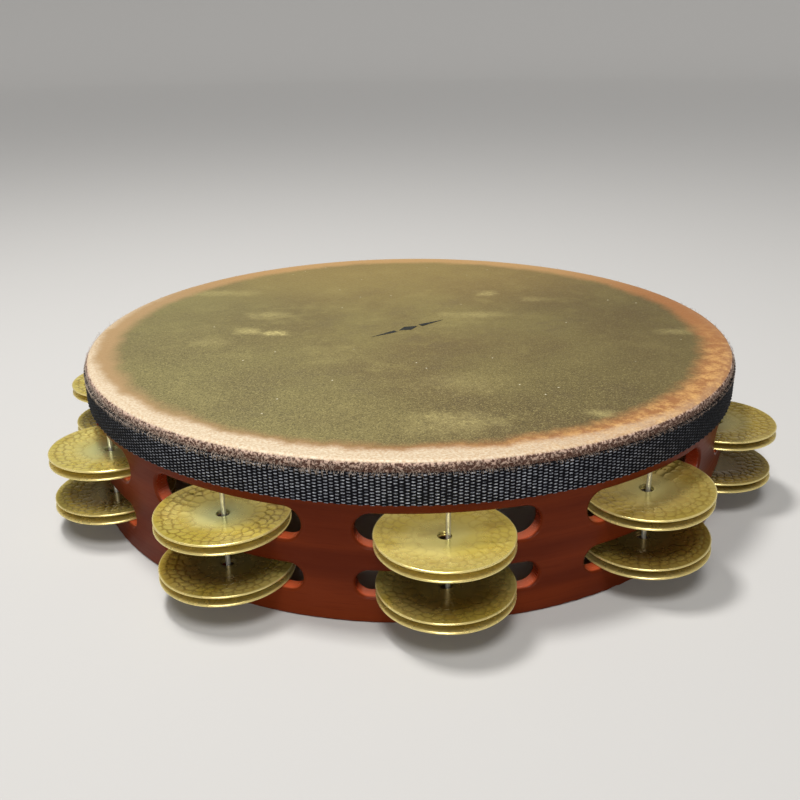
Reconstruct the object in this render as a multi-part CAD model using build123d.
from build123d import *
import os
from math import degrees, radians, sin

# Tambourine with two rows of jingles: a bent wooden shell, a skin head, a woven band over the skin's edge,
# ten long pins and forty dished brass jingles that slide on them. Millimetres.
# The origin is on the shell's axis, at its bottom edge. +Z is up, and the wide grip is centred on +Y.

# Shell
shell_radius = 127.0          # a 10 inch shell
shell_wall = 5.5
shell_height = 55.0
bearing_edge_radius = 1.4     # rounded top corner that the skin turns over
foot_edge_radius = 0.8
inner_radius = shell_radius - shell_wall

# Jingle slots: two rows, one above the other
column_count = 10
grip_angle = 60.0             # between the pins on each side of the grip, in degrees
slot_opening = 57.4           # arc length of a slot at the shell's outer face
slot_edge_radius = 1.0
slot_rows = {"lower": (9.2, 18.4), "upper": (26.6, 37.9)}  # heights of each row's floor and ceiling

# Finger hole in the grip
finger_hole_radius = 7.5
finger_hole_height = 23.0

# Skin head
skin_thickness = 0.5
skin_skirt_bottom = 43.0

# Woven band
band_thickness = 1.0
band_bottom = 41.6
band_top = 52.1

# Pins
pin_circle_radius = shell_radius - shell_wall / 2
pin_radius = 0.8
pin_top = 47.0
pin_head_radius = 1.6
pin_head_thickness = 0.7

# Jingles
jingle_radius = 21.65
jingle_thickness = 0.75
jingle_dish = 1.1             # depth of the dish
jingle_hole_radius = 2.2
rest_gap = 0.1                # between a jingle and what it rests on
leaning_column = 6            # the jingles of this column lie leaning: their hole is wider than the pin
lean_angle = 3.5              # in degrees about the line out from the axis; the counter-clockwise side is up

column_pitch = (360.0 - grip_angle) / (column_count - 1)
column_angles = [90.0 + grip_angle / 2 + column_pitch * i for i in range(column_count)]


def revolved(*corners):
    """A ring from a closed outline of (radius, height) corners in the XZ plane."""
    outline = Polyline([(r, 0, z) for r, z in corners], close=True)
    return revolve(make_face(outline), Axis.Z, 360)


def lies_on_radius(edge, radius, low, high):
    """True for an edge that follows the cylinder of this radius between two heights."""
    points = [edge @ (step / 8) for step in range(9)]
    on_cylinder = all(abs(Vector(p.X, p.Y, 0).length - radius) < 1e-3 for p in points)
    return on_cylinder and all(low <= p.Z <= high for p in points)


def slot_cutter(angle, floor, ceiling):
    """A slot with round ends, cut square to the wall all the way along."""
    end_radius = (ceiling - floor) / 2
    middle = (ceiling + floor) / 2
    half_turn = degrees((slot_opening / 2 - end_radius) / shell_radius)
    outer, inner = shell_radius + 10, inner_radius - 10
    sector = revolve(
        make_face(Polyline([(inner, 0, floor), (outer, 0, floor), (outer, 0, ceiling), (inner, 0, ceiling)],
                           close=True)),
        Axis.Z,
        2 * half_turn,
    )
    cutter = Rot(0, 0, angle - half_turn) * sector
    for end in (angle - half_turn, angle + half_turn):
        bore = Pos((inner + outer) / 2, 0, middle) * Rot(0, 90, 0) * Cylinder(end_radius, outer - inner)
        cutter += Rot(0, 0, end) * bore
    return cutter


def make_pin():
    shank = Cylinder(pin_radius, pin_top, align=(Align.CENTER, Align.CENTER, Align.MIN))
    head = Cylinder(pin_head_radius, pin_head_thickness, align=(Align.CENTER, Align.CENTER, Align.MIN))
    return shank + head


def make_shell():
    ring = revolved(
        (inner_radius, 0), (shell_radius, 0), (shell_radius, shell_height), (inner_radius, shell_height)
    )
    top_corner = ring.edges().filter_by(lambda e: lies_on_radius(e, shell_radius, shell_height, shell_height))
    ring = fillet(top_corner, bearing_edge_radius)
    foot_corners = ring.edges().filter_by(
        lambda e: lies_on_radius(e, shell_radius, 0, 0) or lies_on_radius(e, inner_radius, 0, 0)
    )
    ring = fillet(foot_corners, foot_edge_radius)
    for angle in column_angles:
        for floor, ceiling in slot_rows.values():
            ring -= slot_cutter(angle, floor, ceiling)
    ring -= Pos(0, pin_circle_radius, finger_hole_height) * Rot(90, 0, 0) * Cylinder(finger_hole_radius, 20)
    slot_edges = ring.edges().filter_by(
        lambda e: lies_on_radius(e, shell_radius, 5, 40) or lies_on_radius(e, inner_radius, 5, 40)
    )
    ring = fillet(slot_edges, slot_edge_radius)
    for angle in column_angles:
        ring -= Rot(0, 0, angle) * Pos(pin_circle_radius, 0, 0) * make_pin()
    return ring


def make_head():
    """The skin: a flat sheet over the shell, turned down its side."""
    outside = shell_radius + skin_thickness
    top = shell_height + skin_thickness
    cap = revolved((0, skin_skirt_bottom), (outside, skin_skirt_bottom), (outside, top), (0, top))
    rim = cap.edges().filter_by(lambda e: lies_on_radius(e, outside, top, top))
    cap = fillet(rim, bearing_edge_radius + skin_thickness)
    core = revolved(
        (0, skin_skirt_bottom), (shell_radius, skin_skirt_bottom), (shell_radius, shell_height), (0, shell_height)
    )
    corner = core.edges().filter_by(lambda e: lies_on_radius(e, shell_radius, shell_height, shell_height))
    return cap - fillet(corner, bearing_edge_radius)


def make_band():
    """The woven band lies on the skin, and below the skin's edge on the wood."""
    outside = shell_radius + skin_thickness + band_thickness
    on_skin = shell_radius + skin_thickness
    return revolved(
        (shell_radius, band_bottom),
        (outside, band_bottom),
        (outside, band_top),
        (on_skin, band_top),
        (on_skin, skin_skirt_bottom),
        (shell_radius, skin_skirt_bottom),
    )


def make_jingle():
    """A shallow round dish, hollow side down, with its rim at z = 0."""
    def height(r):
        return jingle_dish * (1 - (r / jingle_radius) ** 2)

    middle_radius = (jingle_hole_radius + jingle_radius) / 2
    inside = ThreePointArc(
        (jingle_hole_radius, 0, height(jingle_hole_radius)),
        (middle_radius, 0, height(middle_radius)),
        (jingle_radius, 0, 0),
    )
    outside = Pos(0, 0, jingle_thickness) * inside
    section = make_face(inside + outside + Line(inside @ 0, outside @ 0) + Line(inside @ 1, outside @ 1))
    return revolve(section, Axis.Z, 360)


os.makedirs("parts", exist_ok=True)

parts = {"shell": make_shell(), "head": make_head(), "head_band": make_band()}
pin = make_pin()
jingle = make_jingle()
turned_over = Rot(180, 0, 0) * jingle
pair_step = 2 * (jingle_dish + jingle_thickness) + rest_gap

for number, angle in enumerate(column_angles, start=1):
    parts[f"pin_{number:02d}"] = Rot(0, 0, angle) * Pos(pin_circle_radius, 0, 0) * pin
    lean = lean_angle if number == leaning_column else 0
    lift = jingle_radius * sin(radians(lean))
    for row, (floor, ceiling) in slot_rows.items():
        on_floor = Rot(0, 0, angle) * Pos(pin_circle_radius, 0, floor + rest_gap + lift) * Rot(lean, 0, 0)
        parts[f"jingle_{row}_{number:02d}_bottom"] = on_floor * jingle
        parts[f"jingle_{row}_{number:02d}_top"] = on_floor * Pos(0, 0, pair_step) * turned_over

for row, (floor, ceiling) in slot_rows.items():
    free_height = ceiling - floor - pair_step - 2 * rest_gap
    print(f"{row} row: slot {ceiling - floor:.2f} high, pair {pair_step:.2f} high, free travel {free_height:.2f}")
print("column angles", [round(angle, 3) for angle in column_angles])

for name, solid in parts.items():
    solid.label = name
    export_step(solid, f"parts/{name}.step")
